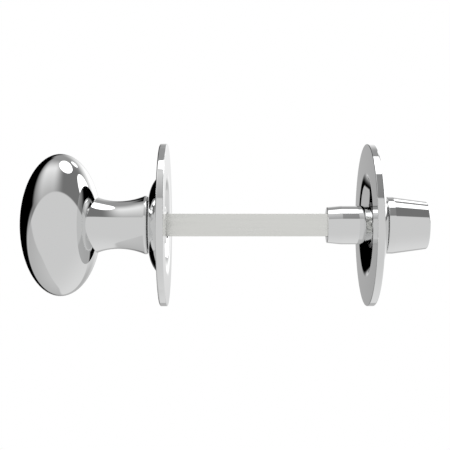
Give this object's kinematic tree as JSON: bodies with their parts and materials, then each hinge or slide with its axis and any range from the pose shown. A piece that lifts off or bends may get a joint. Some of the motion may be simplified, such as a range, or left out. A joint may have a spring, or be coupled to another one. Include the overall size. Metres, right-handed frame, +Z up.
{
  "type": "bathroom thumb turn and emergency release",
  "caption": "Polished chrome oval thumb turn on a domed rose, joined by a square spindle through the door to a coin-slot emergency release on a matching rose.",
  "frame": {"origin": "on the spindle axis, in the plane where the turn's rose seats on the door", "axes": "+X along the spindle from the turn to the release, +Z up along the oval head's long axis at rest"},
  "size_m": [0.0901, 0.036, 0.036],
  "materials": {
    "polished_chrome": "bright chrome plate on a polished casting",
    "drawn_steel": "bright drawn square bar, left bare",
    "spring_steel": "tempered spring steel, dull",
    "acetal": "grey acetal sheet"
  },
  "bodies": {
    "turn_side": {"turn_rose": "polished_chrome", "turn_bearing_washer": "acetal", "turn_spring_washer": "spring_steel"},
    "turn": {"turn_knob": "polished_chrome", "turn_circlip": "spring_steel", "spindle": "drawn_steel"},
    "release_side": {"release_rose": "polished_chrome", "release_bearing_washer": "acetal", "release_spring_washer": "spring_steel"},
    "release": {"release_button": "polished_chrome", "release_circlip": "spring_steel"}
  },
  "joints": [
    {"name": "thumb_turn", "type": "hinge", "parent": "turn_side", "child": "turn", "pos_m": [0, 0, 0], "axis": [1, 0, 0], "range_deg": [-90, 90]},
    {"name": "door_thickness", "type": "slide", "parent": "turn_side", "child": "release_side", "axis": [1, 0, 0], "range_m": [-0.009, 0.006]},
    {"name": "release_turn", "type": "hinge", "parent": "release_side", "child": "release", "pos_m": [0.044, 0, 0], "axis": [1, 0, 0], "range_deg": [-90, 90]}
  ],
  "couplings": [
    {"joint": "release_turn", "follows": "thumb_turn", "ratio": 1}
  ]
}
